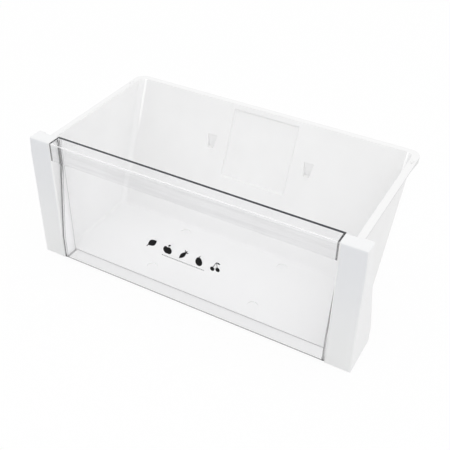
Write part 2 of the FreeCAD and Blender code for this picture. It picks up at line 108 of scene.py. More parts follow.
class ShaderTree:
    """The node tree of a material or of the room, built a node at a time."""

    def __init__(self, owner: bpy.types.Material | bpy.types.World) -> None:
        """Empties its owner's tree.

        Args:
            owner: The material or the world that the tree belongs to.
        """
        owner.use_nodes = True
        self.owner = owner
        self.nodes = owner.node_tree.nodes
        self.links = owner.node_tree.links
        self.nodes.clear()

    @classmethod
    def of_material(cls, name: str) -> "ShaderTree":
        """Returns the empty tree of a new material."""
        return cls(bpy.data.materials.new(name))

    def feed(self, socket: Socket, source: Source) -> None:
        """Gives a socket what it takes.

        Args:
            socket: The socket of a node.
            source: A constant, or another socket that is linked to it.
        """
        if isinstance(source, Socket):
            self.links.new(source, socket)
        else:
            socket.default_value = source

    def add(
        self, kind: str, feeds: dict[str | int, Source] | None = None, **settings: object
    ) -> bpy.types.Node:
        """Adds a node.

        Args:
            kind: The node's type.
            feeds: What each named or numbered socket takes.
            settings: The node's own properties.

        Returns:
            The new node.
        """
        node = self.nodes.new(kind)
        for name, setting in settings.items():
            setattr(node, name, setting)
        for name, source in (feeds or {}).items():
            self.feed(node.inputs[name], source)
        return node

    def split(self, output: str) -> tuple[Socket, Axes]:
        """Reads a vector of the piece's own space.

        Args:
            output: The vector's name on the Texture Coordinate node.

        Returns:
            The vector, and its X, Y and Z.
        """
        vector = self.add("ShaderNodeTexCoord").outputs[output]
        parts = self.add("ShaderNodeSeparateXYZ", {"Vector": vector})
        return vector, {axis: parts.outputs[axis] for axis in "XYZ"}

    def surface(self) -> Surface:
        """Returns the place on the piece and the way that it faces there."""
        return Surface(self, *self.split("Object"), self.split("Normal")[1])

    def noise(self, place: Socket, scale: float, layers: float = 2.0) -> Socket:
        """Returns a noise from 0 to 1 with so many waves for each metre, and so many finer layers."""
        feeds = {"Vector": place, "Scale": scale, "Detail": layers}
        return self.add("ShaderNodeTexNoise", feeds).outputs[0]

    def streaks(self, place: Socket, scales: Place) -> Socket:
        """Returns a noise with its own waves for each metre along X, Y and Z, drawn out into streaks."""
        drawn = self.add("ShaderNodeVectorMath", {0: place, 1: scales}, operation="MULTIPLY")
        return self.noise(drawn.outputs[0], 1.0)

    def slide(
        self, source: Socket, low: float, high: float, to_low: float, to_high: float, course: str = "LINEAR"
    ) -> Socket:
        """Moves a value from one range to another, and holds it beyond the ends.

        Args:
            source: The value.
            low: Where the range begins.
            high: Where the range ends.
            to_low: What the value becomes at the beginning and below.
            to_high: What the value becomes at the end and above.
            course: How it gets from one end to the other.

        Returns:
            The new value.
        """
        feeds = {0: source, 1: low, 2: high, 3: to_low, 4: to_high}
        return self.add("ShaderNodeMapRange", feeds, interpolation_type=course).outputs[0]

    def remap(self, source: Socket, low: float, high: float, start: float = 0.0, end: float = 1.0) -> Socket:
        """Returns a value eased from one range to another, and held beyond the ends."""
        return self.slide(source, low, high, start, end, "SMOOTHSTEP")

    def over(self, source: Socket, limit: float, soft: float = EDGE_SOFT) -> Socket:
        """Returns 1 above a limit and 0 below it, with a soft change between."""
        return self.remap(source, limit - soft / 2, limit + soft / 2)

    def under(self, source: Socket, limit: float, soft: float = EDGE_SOFT) -> Socket:
        """Returns 1 below a limit and 0 above it, with a soft change between."""
        return self.remap(source, limit - soft / 2, limit + soft / 2, 1.0, 0.0)

    def share(self, mask: Socket, marked: float) -> Socket:
        """Returns 1 where a mask is 0, and the marked share where it is 1."""
        return self.slide(mask, 0.0, 1.0, 1.0, marked)

    def math(self, operation: str, *values: Source) -> Socket:
        """Returns the result of a math node."""
        return self.add("ShaderNodeMath", dict(enumerate(values)), operation=operation).outputs[0]

    def product(self, *values: Socket) -> Socket:
        """Returns the product of several values."""
        return reduce(partial(self.math, "MULTIPLY"), values)

    def largest(self, *values: Socket) -> Socket:
        """Returns the largest of several values."""
        return reduce(partial(self.math, "MAXIMUM"), values)

    def mix(self, kind: str, feeds: dict[str, Source]) -> Socket:
        """Mixes two colours.

        Args:
            kind: How they are mixed.
            feeds: What the factor and the two colours take.

        Returns:
            The mixed colour.
        """
        node = self.add("ShaderNodeMix", data_type="RGBA", blend_type=kind)
        takes = {socket.name: socket for socket in node.inputs if socket.enabled}
        for name, source in feeds.items():
            self.feed(takes[name], source)
        return next(socket for socket in node.outputs if socket.enabled)

    def blend(self, share: Socket, first: Socket | Colour, second: Socket | Colour) -> Socket:
        """Returns a colour between two colours."""
        return self.mix("MIX", {"Factor": share, "A": first, "B": second})

    def shade(self, colour: Socket, share: Socket) -> Socket:
        """Returns a colour times a value."""
        grey = self.add("ShaderNodeCombineXYZ", {axis: share for axis in "XYZ"}).outputs[0]
        return self.mix("MULTIPLY", {"Factor": 1.0, "A": colour, "B": grey})

    def bump(self, height: Socket, depth: float, carrier: Socket | None = None) -> Socket:
        """Makes a relief.

        Args:
            height: The relief, from 0 to 1.
            depth: How far 1 stands above 0, in metres.
            carrier: The normal of another relief that carries this one.

        Returns:
            The normal of the relief.
        """
        feeds = {"Height": height, "Distance": depth}
        if carrier:
            feeds["Normal"] = carrier
        return self.add("ShaderNodeBump", feeds).outputs[0]

    def showing(self) -> Socket:
        """Returns 1 for the rays that show the room or the floor, and 0 for those that light the drawer."""
        path = self.add("ShaderNodeLightPath")
        return self.largest(*(path.outputs[f"Is {kind} Ray"] for kind in SHOWING_RAYS))

    def crossing(self, share: Socket, first: bpy.types.Node, second: bpy.types.Node) -> Socket:
        """Returns a shader between two shaders."""
        feeds = {0: share, 1: first.outputs[0], 2: second.outputs[0]}
        return self.add("ShaderNodeMixShader", feeds).outputs[0]

    def finish(self, shader: Socket) -> bpy.types.Material | bpy.types.World:
        """Joins a shader to the output.

        Args:
            shader: The finished shader.

        Returns:
            The material or the world that the tree belongs to.
        """
        kind = "World" if isinstance(self.owner, bpy.types.World) else "Material"
        self.add(f"ShaderNodeOutput{kind}", {"Surface": shader})
        return self.owner


@dataclass(frozen=True)
class MouldedPlastic:
    """A solid moulded plastic: a little uneven in tone and gloss, with a fine grain and slow waves, and
    painted light and shade in its tones.

    Attributes:
        name: The material's name.
        high_lit_tone: Tone at the top of the piece, where light and shade are painted by height.
        low_lit_tone: Tone at the foot of the piece, where light and shade are painted by height.
        inner_lit_tone: Tone of the sides that face the middle of the drawer, lightened as painted light.
        outer_lit_tone: Tone of the sides that face away from it, with painted light and shade.
        top_lit_tone: Tone of what faces up, with its rounded edges, with painted light and shade.
        lit_tone_span: Lowest and highest height between which the painted light and shade change.
        painted_glow: Painted glow, light that the surface gives off as a stand-in for light that comes
            through the wall from behind.
        cloud: Share by which the slow clouds darken the tone.
        gloss_span: Lowest and highest roughness.
        grain_scale: Waves of the fine grain for each metre.
        grain_depth: Depth of the fine grain in metres.
        wave_scale: Slow waves of the wall for each metre.
        wave_depth: Depth of the slow waves in metres.
        grain_layers: Finer layers in the grain.
        index: Index of refraction.
        inner_edge: What counts as facing the middle, in the measure of Surface.outward.
        outer_edge: What counts as facing away from the middle, in the same measure.
        top_edge: What counts as facing up, as the Z of the way it faces.
    """

    name: str
    high_lit_tone: Colour
    low_lit_tone: Colour
    inner_lit_tone: Colour
    outer_lit_tone: Colour
    top_lit_tone: Colour
    lit_tone_span: Span
    painted_glow: float
    cloud: float
    gloss_span: Span
    grain_scale: float
    grain_depth: float
    wave_scale: float
    wave_depth: float
    grain_layers: float = 4.0
    index: float = 1.5
    inner_edge: Edge = (-0.10, 0.10)
    outer_edge: Edge = (0.14, 0.04)
    top_edge: Edge = (0.60, 0.30)

    def tone(self, spot: Surface, share: Socket) -> Socket:
        """Mixes the tones by height and by the way that the surface faces, as painted light and shade.

        Args:
            spot: The point on the piece.
            share: The share of the tone that clouds and the painted shade and highlights leave.

        Returns:
            The surface's colour.
        """
        tree = spot.tree
        outward = spot.outward()
        # Painted light and shade: tones blended by height, by facing the middle or away from it, and by
        # facing up.
        plain = tree.blend(tree.remap(spot.at["Z"], *self.lit_tone_span), self.low_lit_tone, self.high_lit_tone)
        inside = tree.blend(tree.under(outward, *self.inner_edge), plain, self.inner_lit_tone)
        sided = tree.blend(tree.over(outward, *self.outer_edge), inside, self.outer_lit_tone)
        upward = tree.over(spot.faces["Z"], *self.top_edge)
        return tree.blend(upward, tree.shade(sided, share), self.top_lit_tone)

    def material(self, painted_shading: Shading | None = None) -> bpy.types.Material:
        """Builds the material.

        Args:
            painted_shading: Gives the share of the tone that painted shade and highlights leave at a point,
                where the piece has them.

        Returns:
            The material.
        """
        tree = ShaderTree.of_material(self.name)
        spot = tree.surface()
        waves = tree.noise(spot.place, self.wave_scale)
        grain = tree.noise(spot.place, self.grain_scale, self.grain_layers)
        share = tree.remap(waves, *NOISE_SPAN, 1.0, 1.0 - self.cloud)
        # Painted shade and highlights, where the piece has them.
        if painted_shading:
            share = tree.product(share, painted_shading(spot))
        shader = tree.add("ShaderNodeBsdfPrincipled", {
            "Base Color": self.tone(spot, share),
            "Roughness": tree.remap(grain, *NOISE_SPAN, *self.gloss_span),
            "Normal": tree.bump(grain, self.grain_depth, tree.bump(waves, self.wave_depth)),
            "IOR": self.index,
            # Painted glow: the surface gives off light, a stand-in for light that comes through the wall.
            "Emission Color": self.low_lit_tone,
            "Emission Strength": self.painted_glow,
        })
        return tree.finish(shader.outputs[0])


@dataclass(frozen=True)
class ClearPlastic:
    """The clear moulding: clear walls, with painted dark edges that stand in for light trapped along the
    walls.

    Attributes:
        name: The material's name.
        body: Tone of the clear walls.
        edge: Tone of the darkest painted edges.
        roughness: Roughness of the polished faces.
        index: Index of refraction inside the thin walls, low so that they don't bend the view.
        shine: Index of refraction of the polished skin, which mirrors the room.
        hazy_share: Share of the light that passes straight through where it is hazy.
        painted_wall_glow: Painted glow that the hazy end walls give off, a stand-in for light that gathers in
            them.
        ripple_scale: Slow ripples of the polished skin for each metre.
        ripple_depth: Depth of the ripples in metres.
    """

    name: str
    body: Colour
    edge: Colour
    roughness: float
    index: float
    shine: float
    hazy_share: float
    painted_wall_glow: float
    ripple_scale: float
    ripple_depth: float

    def material(self, clearness_with_painted_shade: Shading, on_end_wall: Shading, on_bend_highlight: Shading) -> bpy.types.Material:
        """Builds the material.

        Args:
            clearness_with_painted_shade: Gives the share of light that is let through at a point, less where
                dark edges are painted.
            on_end_wall: Gives 1 on the hazy end walls and 0 elsewhere.
            on_bend_highlight: Gives 1 on the bend over the lip, made hazy as a painted highlight, and 0
                elsewhere.

        Returns:
            The material.
        """
        tree = ShaderTree.of_material(self.name)
        spot = tree.surface()
        ripples = tree.noise(spot.place, self.ripple_scale)
        walls = on_end_wall(spot)
        haze = tree.largest(walls, on_bend_highlight(spot))
        polished = tree.add("ShaderNodeBsdfPrincipled", {
            # Painted shade: dark edges blended into the base colour.
            "Base Color": tree.blend(clearness_with_painted_shade(spot), self.edge, self.body),
            "Roughness": self.roughness,
            "IOR": self.index,
            "Transmission Weight": tree.share(haze, self.hazy_share),
            "Coat Weight": 1.0,
            "Coat Roughness": self.roughness,
            "Coat IOR": self.shine,
            "Coat Normal": tree.bump(ripples, self.ripple_depth),
            # Painted glow on the hazy end walls.
            "Emission Color": self.body,
            "Emission Strength": tree.slide(walls, 0.0, 1.0, 0.0, self.painted_wall_glow),
        })
        open_way = tree.add("ShaderNodeBsdfTransparent", {"Color": self.body})
        in_shadow = tree.add("ShaderNodeLightPath").outputs["Is Shadow Ray"]
        return tree.finish(tree.crossing(in_shadow, polished, open_way))


@dataclass(frozen=True)
class Ink:
    """Printing ink, a thin film with a slightly uneven cover.

    Attributes:
        name: The material's name.
        full: Tone where the film is thick.
        thin: Tone where the film is thin.
        shine: How much it mirrors, less than bare plastic.
        cover_scale: Waves of the uneven cover for each metre.
        cover_layers: Finer layers in the cover.
        cover_span: Cover at which the film is thick, and at which it is thin.
        gloss_cover: Cover at which the film is glossiest, and at which it is dullest.
        gloss_span: Lowest and highest roughness.
    """

    name: str
    full: Colour
    thin: Colour
    shine: float
    cover_scale: float = 900.0
    cover_layers: float = 3.0
    cover_span: Span = (0.4, 0.7)
    gloss_cover: Span = (0.2, 0.8)
    gloss_span: Span = (0.35, 0.55)

    def material(self) -> bpy.types.Material:
        """Builds the material.

        Returns:
            The material.
        """
        tree = ShaderTree.of_material(self.name)
        cover = tree.noise(tree.surface().place, self.cover_scale, self.cover_layers)
        shader = tree.add("ShaderNodeBsdfPrincipled", {
            "Base Color": tree.blend(tree.remap(cover, *self.cover_span), self.full, self.thin),
            "Roughness": tree.remap(cover, *self.gloss_cover, *self.gloss_span),
            "Specular IOR Level": self.shine,
        })
        return tree.finish(shader.outputs[0])


# Its tones by height and by facing carry painted light and shade, and its glow is painted light.
OPAL = MouldedPlastic(
    name="opal_bin",
    high_lit_tone=(0.803, 0.803, 0.803, 1.0),
    low_lit_tone=(0.788, 0.788, 0.788, 1.0),
    inner_lit_tone=(0.853, 0.853, 0.853, 1.0),
    outer_lit_tone=(0.72, 0.72, 0.72, 1.0),
    top_lit_tone=(0.78, 0.78, 0.78, 1.0),
    lit_tone_span=(0.0, 178.0 * MM),
    painted_glow=0.095,
    cloud=0.025,
    gloss_span=(0.28, 0.32),
    grain_scale=700.0,
    grain_depth=0.001 * MM,
    wave_scale=16.0,
    wave_depth=0.2 * MM,
)
# Its tones by height and by facing carry painted light and shade: darker at the top, lighter at the foot and
# inner sides.
CAP_WHITE = MouldedPlastic(
    name="white_cap",
    high_lit_tone=(0.75, 0.76, 0.78, 1.0),
    low_lit_tone=(0.81, 0.815, 0.815, 1.0),
    inner_lit_tone=(0.94, 0.94, 0.94, 1.0),
    outer_lit_tone=(0.823, 0.824, 0.828, 1.0),
    top_lit_tone=(0.84, 0.845, 0.85, 1.0),
    lit_tone_span=(0.0, 187.0 * MM),
    painted_glow=0.0,
    cloud=0.01,
    gloss_span=(0.30, 0.42),
    grain_scale=1500.0,
    grain_depth=0.002 * MM,
    wave_scale=20.0,
    wave_depth=0.06 * MM,
)
# The edge tone is painted shade, and the wall glow is painted light.
CLEAR = ClearPlastic(
    name="clear_front",
    body=(0.985, 0.985, 0.99, 1.0),
    edge=(0.0, 0.0001, 0.0008, 1.0),
    roughness=0.01,
    index=1.03,
    shine=1.49,
    hazy_share=0.3,
    painted_wall_glow=0.08,
    ripple_scale=14.0,
    ripple_depth=0.05 * MM,
)
BLACK_INK = Ink(
    name="black_ink",
    full=(0.003, 0.003, 0.0035, 1.0),
    thin=(0.008, 0.008, 0.009, 1.0),
    shine=0.12,
)


def clothe(piece: bpy.types.Object, material: bpy.types.Material) -> None:
    """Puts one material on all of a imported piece's slots.

    Args:
        piece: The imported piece.
        material: Its material.
    """
    for slot in piece.material_slots:
        slot.material = material
    LOG.info("dressed %s with %s", piece.name, material.name)


def add_piece(name: str, mesh: bpy.types.Mesh, material: bpy.types.Material) -> bpy.types.Object:
    """Adds a piece that belongs to the drawer.

    Args:
        name: The piece's name.
        mesh: Its mesh, in place.
        material: Its material.

    Returns:
        The piece.
    """
    mesh.materials.clear()
    mesh.materials.append(material)
    piece = bpy.data.objects.new(name, mesh)
    bpy.context.scene.collection.objects.link(piece)
    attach(piece, BODY)
    LOG.info("added %s", name)
    return piece


@dataclass
class OpalBin:
    """The opal bin.

    Attributes:
        rim_half: Middle to the rim's outer edge.
        finish: Its finish.
        dent_spacing: Middle to middle of the two dents in the back wall.
        dent_width: Width of a dent.
        dent_foot: Height of a dent's foot.
        dent_top: Height of a dent's top.
        dent_soft: Width over which the painted shade of a dent fades.
        dent_steep: What counts as steep, as the Z of the way it faces.
        dent_front: What counts as facing forward, as the Y of the way it faces.
        corner_inset: Rim's outer edge to where the rear corners begin.
        corner_fade: Heights between which the painted highlight in the rear corners grows.
        corner_begin: Where that highlight begins, as the X of the way the corner faces.
        corner_end: Where that highlight ends, in the same measure.
        corner_front: What is inside a corner, as the Y of the way it faces.
        rim_edge: Rim's outer edge to where its painted shade begins.
        rim_soft: Width over which that shade fades.
        dent_shade_share: Share of the tone that the dents keep under painted shade.
        rim_shade_share: Share of the tone that the rim's outer edge keeps under painted shade.
        corner_highlight_share: Share of the tone along the rear corners, raised as a painted highlight.
    """

    rim_half: float
    finish: MouldedPlastic = OPAL
    dent_spacing: float = 150.0 * MM
    dent_width: float = 17.0 * MM
    dent_foot: float = 115.0 * MM
    dent_top: float = 135.0 * MM
    dent_soft: float = 1.0 * MM
    dent_steep: Edge = (0.25, 0.10)
    dent_front: Edge = (0.05, 0.10)
    corner_inset: float = 60.0 * MM
    corner_fade: Span = (100.0 * MM, 140.0 * MM)
    corner_begin: Edge = (0.13, 0.10)
    corner_end: Edge = (0.39, 0.14)
    corner_front: Edge = (-0.75, 0.10)
    rim_edge: float = 0.75 * MM
    rim_soft: float = 0.5 * MM
    dent_shade_share: float = 0.97
    rim_shade_share: float = 0.80
    corner_highlight_share: float = 1.20

    def in_dent(self, spot: Surface) -> Socket:
        """Says where the steep sides of the dents are, which get painted shade.

        Args:
            spot: The point on the bin.

        Returns:
            1 in the dents and 0 elsewhere.
        """
        tree = spot.tree
        reach = self.dent_soft / 2
        off_middle = tree.math("ABSOLUTE", tree.math("SUBTRACT", spot.across(), self.dent_spacing / 2))
        return tree.product(
            tree.under(off_middle, self.dent_width / 2 + reach, self.dent_soft),
            tree.over(spot.at["Z"], self.dent_foot - reach, self.dent_soft),
            tree.under(spot.at["Z"], self.dent_top + reach, self.dent_soft),
            tree.under(spot.faces["Z"], *self.dent_steep),
            tree.under(spot.faces["Y"], *self.dent_front),
        )

    def in_corner(self, spot: Surface) -> Socket:
        """Says where the rear corners get a painted highlight.

        Args:
            spot: The point on the bin.

        Returns:
            1 along the corners and 0 elsewhere.
        """
        tree = spot.tree
        begin = self.rim_half - self.corner_inset
        turned = tree.math("ABSOLUTE", spot.faces["X"])
        return tree.product(
            tree.remap(spot.across(), begin, begin + self.corner_inset / 2),
            tree.over(turned, *self.corner_begin),
            tree.under(turned, *self.corner_end),
            tree.under(spot.faces["Y"], *self.corner_front),
            tree.remap(spot.at["Z"], *self.corner_fade),
        )

    def painted_shading(self, spot: Surface) -> Socket:
        """Paints shade into the dents and along the rim's outer edge, and a highlight along the rear corners.

        Args:
            spot: The point on the bin.

        Returns:
            The share of the tone that shows.
        """
        tree = spot.tree
        on_rim_edge = tree.over(spot.across(), self.rim_half - self.rim_edge, self.rim_soft)
        # Painted shade in the dents and on the rim's outer edge, painted highlight in the rear corners.
        return tree.product(
            tree.share(self.in_dent(spot), self.dent_shade_share),
            tree.share(self.in_corner(spot), self.corner_highlight_share),
            tree.share(on_rim_edge, self.rim_shade_share),
        )

    def dress(self, piece: bpy.types.Object) -> None:
        """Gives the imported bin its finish."""
        clothe(piece, self.finish.material(self.painted_shading))


@dataclass
class EndCaps:
    """The two white end caps.

    Attributes:
        finish: Their finish.
    """

    finish: MouldedPlastic = CAP_WHITE

    def dress(self, *pieces: bpy.types.Object) -> None:
        """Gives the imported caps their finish.

        Args:
            pieces: The caps.
        """
        material = self.finish.material()
        for piece in pieces:
            clothe(piece, material)


@dataclass
class ClearFront:
    """The clear front with its hanging lip, with painted dark edges, painted reflection streaks and a painted
    highlight on the bend.

    Attributes:
        half_width: Middle to the end of the panel.
        front: Y of the foremost face.
        seam: Y of the rear edges.
        top: Z of the top.
        foot: Z of the foot.
        finish: Its finish.
        wall: Thickness of the moulding.
        recess_depth: The grip recess behind the lip's front.
        shoulder_drop: Top to where the leaning face becomes upright.
        lean_foot: Height where the leaning face meets the front.
        lip_height: Height of the hanging lip.
        skin: Distance from a face within which a point counts as on it.
        floor_rise: Foot to above the panel's own floor.
        end_wall: End of the panel to just inside its end walls.
        foot_depth: Front to behind the foot's edge.
        up_edge: What counts as facing up, as the Z of the way it faces.
        front_edge: What counts as facing forward, as the Y of the way it faces.
        inner_edge: What counts as facing the middle, in the measure of Surface.outward.
        rear_band: Width of the dark band along the top's rear edge.
        end_band: Width of the dark bands at the ends of the leaning face.
        corner_band: Width of the dark lines on the end walls, along the leaning face.
        lip_end_band: Width of the dark bands at the ends of the lip and the top.
        bend_band: Width of the bright bend, to each side of the edge between lip and top, kept clear as a
            painted highlight.
        wall_band: Width of the lines along the rear edges of the end walls and the floor.
        foot_band: Height of the line along the front's foot.
        floor_end_band: Width of the lines at the ends of the panel's own floor.
        haze_band: Width of the hazy bend over the lip, a painted highlight.
        haze_gap: Leaning face to where the haze of the end walls begins.
        haze_soft: Width over which that haze begins.
        rear_clear: Light through the top's rear edge.
        end_clear: Light through the ends of the leaning face.
        corner_clear: Light through the end walls along that face.
        top_end_clear: Light through the ends of the top.
        lip_end_clear: Light through the ends of the lip.
        recess_end_clear: Further share for the ends of the upright face behind the lip.
        wall_clear: Light through the rear edges of the end walls.
        foot_clear: Light through the front's foot.
        floor_clear: Light through the panel's own floor.
        floor_end_clear: Light through the ends of that floor.
        seam_clear: Light through the rear edge of that floor.
        lip_clear: Light through the hanging lip.
        top_clear: Light through the top.
        bend_clear: Light through the hazy bend over the lip.
        reflection_streak_clear: Light through the painted reflection streaks in the lip.
        reflection_streak_waves: Waves of the streaks for each metre along X, Y and Z.
        reflection_streak_edge: What counts as a streak in those waves.
    """

    half_width: float
    front: float
    seam: float
    top: float
    foot: float
    finish: ClearPlastic = CLEAR
    wall: float = 2.5 * MM
    recess_depth: float = 14.5 * MM
    shoulder_drop: float = 39.0 * MM
    lean_foot: float = 38.0 * MM
    lip_height: float = 26.0 * MM
    skin: float = 1.0 * MM
    floor_rise: float = 5.0 * MM
    end_wall: float = 3.0 * MM
    foot_depth: float = 4.0 * MM
    up_edge: Edge = (0.85, 0.10)
    front_edge: Edge = (-0.85, 0.10)
    inner_edge: Edge = (-0.14, 0.04)
    rear_band: float = 4.2 * MM
    end_band: float = 2.2 * MM
    corner_band: float = 0.8 * MM
    lip_end_band: float = 2.3 * MM
    bend_band: float = 3.0 * MM
    wall_band: float = 1.0 * MM
    foot_band: float = 2.0 * MM
    floor_end_band: float = 4.0 * MM
    haze_band: float = 1.6 * MM
    haze_gap: float = 3.0 * MM
    haze_soft: float = 1.0 * MM
    rear_clear: float = 0.0003
    end_clear: float = 0.38
    corner_clear: float = 0.10
    top_end_clear: float = 0.01
    lip_end_clear: float = 0.12
    recess_end_clear: float = 0.35
    wall_clear: float = 0.45
    foot_clear: float = 0.10
    floor_clear: float = 0.84
    floor_end_clear: float = 0.40
    seam_clear: float = 0.88
    lip_clear: float = 0.86
    top_clear: float = 0.95
    bend_clear: float = 0.93
    reflection_streak_clear: float = 0.92
    reflection_streak_waves: Place = (7.0, 1.0, 160.0)
    reflection_streak_edge: Edge = (0.51, 0.22)

    @property
    def shoulder(self) -> float:
        """Z of the shoulder, where the leaning face becomes upright."""
        return self.top - self.shoulder_drop

    def face_depth(self, height: float) -> float:
        """Returns Y of the leaning face at a height."""
        rise = self.shoulder - self.lean_foot
        return self.front + self.recess_depth * (height - self.lean_foot) / rise

    def behind_face(self, spot: Surface) -> Socket:
        """Measures how far behind the leaning face a point is.

        Args:
            spot: The point on the panel.

        Returns:
            The distance along Y.
        """
        tree = spot.tree
        recess = self.front + self.recess_depth
        face = tree.slide(spot.at["Z"], self.lean_foot, self.shoulder, self.front, recess)
        return tree.math("SUBTRACT", spot.at["Y"], face)

    def on_bend_highlight(self, spot: Surface) -> Socket:
        """Says where the bend between lip and top is, made hazy as a painted highlight.

        Args:
            spot: The point on the panel.

        Returns:
            1 on the bend and 0 elsewhere.
        """
        tree = spot.tree
        near, far = self.haze_band / 2, self.haze_band
        at_top = tree.remap(spot.at["Z"], self.top - far, self.top - near)
        at_front = tree.remap(spot.at["Y"], self.front + near, self.front + far, 1.0, 0.0)
        return tree.product(at_top, at_front)

    def clearness_with_painted_shade(self, spot: Surface) -> Socket:
        """Says how much light the moulding lets through, less at its free edges, where dark lines are painted
        as shade.

        Args:
            spot: The point on the panel.

        Returns:
            1 on the clear walls and near 0 on the darkest edges.
        """
        tree = spot.tree
        over, under, both = tree.over, tree.under, tree.product
        across, depth, height = spot.across(), spot.at["Y"], spot.at["Z"]
        behind = self.behind_face(spot)
        skyward = over(spot.faces["Z"], *self.up_edge)
        forward = under(spot.faces["Y"], *self.front_edge)
        inward = under(spot.outward(), *self.inner_edge)
        on_top = both(skyward, over(height, self.top - self.skin))
        on_lip = both(
            forward,
            under(depth, self.front + self.skin),
            over(height, self.top - self.lip_height - self.skin),
        )
        on_face = both(forward, under(tree.math("ABSOLUTE", behind), self.skin))
        on_floor = both(skyward, under(height, self.foot + self.floor_rise))
        in_corner = both(over(behind, self.wall - self.skin), under(behind, self.wall + self.corner_band))
        at_face_end = over(across, self.half_width - self.end_band)
        at_lip_end = over(across, self.half_width - self.lip_end_band)
        at_end_wall = over(across, self.half_width - self.end_wall)
        at_floor_end = over(across, self.half_width - self.floor_end_band)
        at_seam = over(depth, self.seam - self.wall_band)
        at_foot = both(under(depth, self.front + self.foot_depth), under(height, self.foot + self.foot_band))
        # Painted reflection streaks in the lip.
        reflection_streaks = over(tree.streaks(spot.place, self.reflection_streak_waves), *self.reflection_streak_edge)
        # Painted shade along the edges and bands, painted reflection streaks in the lip, and a painted
        # highlight kept clear at the bend.
        shares = (
            (self.rear_clear, on_top, over(depth, self.seam - self.rear_band)),
            (self.top_end_clear, on_top, at_lip_end),
            (self.lip_end_clear, on_lip, at_lip_end),
            (self.end_clear, on_face, at_face_end),
            (self.corner_clear, inward, in_corner),
            (self.recess_end_clear, on_face, at_face_end, over(height, self.shoulder)),
            (self.wall_clear, at_seam, at_end_wall),
            (self.foot_clear, at_foot),
            (self.floor_clear, on_floor),
            (self.floor_end_clear, on_floor, at_floor_end),
            (self.seam_clear, on_floor, at_seam),
            (self.lip_clear, on_lip, under(height, self.top - self.bend_band)),
            (self.top_clear, on_top, over(depth, self.front + self.bend_band)),
            (self.bend_clear, self.on_bend_highlight(spot)),
            (self.reflection_streak_clear, on_lip, reflection_streaks),
        )
        return tree.product(*(tree.share(both(*masks), clear) for clear, *masks in shares))

    def on_end_wall(self, spot: Surface) -> Socket:
        """Says where the end walls are, which are hazy and carry a painted glow.

        Args:
            spot: The point on the panel.

        Returns:
            1 on the end walls and 0 elsewhere.
        """
        tree = spot.tree
        reach = self.haze_soft / 2
        at_end = tree.over(spot.across(), self.half_width - self.end_wall - reach, self.haze_soft)
        at_wall = tree.over(self.behind_face(spot), self.haze_gap + reach, self.haze_soft)
        return tree.product(at_end, at_wall)

    def dress(self, piece: bpy.types.Object) -> None:
        """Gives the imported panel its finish."""
        clothe(piece, self.finish.material(self.clearness_with_painted_shade, self.on_end_wall, self.on_bend_highlight))


def polar(radius: Callable[[float], float], centre: Point = (0.0, 0.0), steps: int = 48) -> list[Point]:
    """Draws a closed outline whose distance from its centre follows a rule.

    Args:
        radius: The distance for an angle.
        centre: The middle of the outline.
        steps: How many points it has.

    Returns:
        The outline's points.
    """
    turns = [2 * math.pi * step / steps for step in range(steps)]
    return [(centre[0] + radius(t) * math.cos(t), centre[1] + radius(t) * math.sin(t)) for t in turns]


def hump(angle: float, middle: float, width: float) -> float:
    """Returns a smooth hump round an angle, from 0 to 1."""
    off_middle = (angle - middle + math.pi) % (2 * math.pi) - math.pi
    return math.exp(-(off_middle / width) ** 2)


def apple_radius(angle: float) -> float:
    """Shapes an apple: round, with a dip at its stalk and a small one at its foot.

    Args:
        angle: The angle round its middle.

    Returns:
        The radius there.
    """
    stalk_dip = 0.24 * hump(angle, math.pi / 2, 0.34)
    foot_dip = 0.10 * hump(angle, -math.pi / 2, 0.25)
    return 0.38 * (1 - stalk_dip - foot_dip + 0.05 * math.cos(2 * angle))


def pear_radius(angle: float) -> float:
    """Returns a pear's radius, round with a neck at its top."""
    neck = 0.28 * max(math.sin(angle), 0.0) ** 5
    return 0.33 * (1 + neck - 0.06 * math.cos(2 * angle))


def cherry_radius(angle: float) -> float:
    """Returns a cherry's radius, the same all round."""
    return 0.19


def blade(start: Point, end: Point, width: float, steps: int = 14) -> list[Point]:
    """Draws the outline of a leaf between two tips.

    Args:
        start: One tip.
        end: The other tip.
        width: Its width in the middle.
        steps: Points along one side.

    Returns:
        The outline's points.
    """
    along = Vector(end) - Vector(start)
    side = Vector((-along.y, along.x)).normalized()
    shares = [step / steps for step in range(steps + 1)]
    right = [Vector(start) + along * s - side * (width / 2 * math.sin(math.pi * s)) for s in shares]
    left = [Vector(start) + along * s + side * (width / 2 * math.sin(math.pi * s)) for s in shares]
    return [tuple(point) for point in right + left[-2:0:-1]]


def stroke(start: Point, end: Point, width: float) -> list[Point]:
    """Draws the outline of a straight stroke.

    Args:
        start: The middle of one end.
        end: The middle of the other end.
        width: The stroke's width.

    Returns:
        The outline's four corners.
    """
    along = Vector(end) - Vector(start)
    side = Vector((-along.y, along.x)).normalized() * (width / 2)
    corners = (Vector(start) - side, Vector(end) - side, Vector(end) + side, Vector(start) + side)
    return [tuple(corner) for corner in corners]


